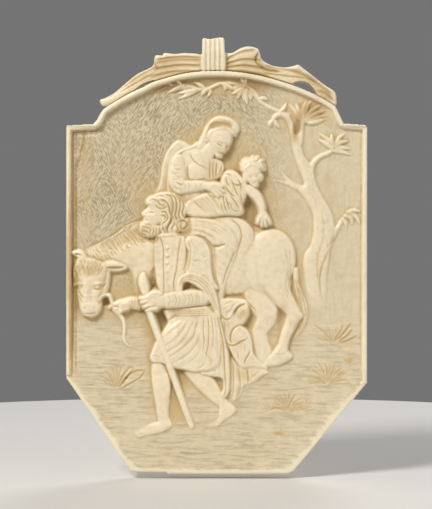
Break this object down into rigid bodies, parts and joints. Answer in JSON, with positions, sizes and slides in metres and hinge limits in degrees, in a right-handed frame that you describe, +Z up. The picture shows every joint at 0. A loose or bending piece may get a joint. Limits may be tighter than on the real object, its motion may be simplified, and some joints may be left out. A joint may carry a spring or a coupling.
{
  "type": "relief plaque",
  "caption": "Carved ivory wall plaque with an arched, ribbon-topped outline: a bearded man with a staff leads an ass that carries a veiled woman and a child past a tree.",
  "frame": {"origin": "on the flat back face, near the middle of the board", "axes": "+Z up the plaque, +X to the viewer's right, +Y into the wall; the carved face looks towards -Y"},
  "size_m": [0.1, 0.0085, 0.1447],
  "materials": {
    "ivory": "satin"
  },
  "bodies": {
    "root": {"plaque": "ivory"}
  },
  "joints": []
}
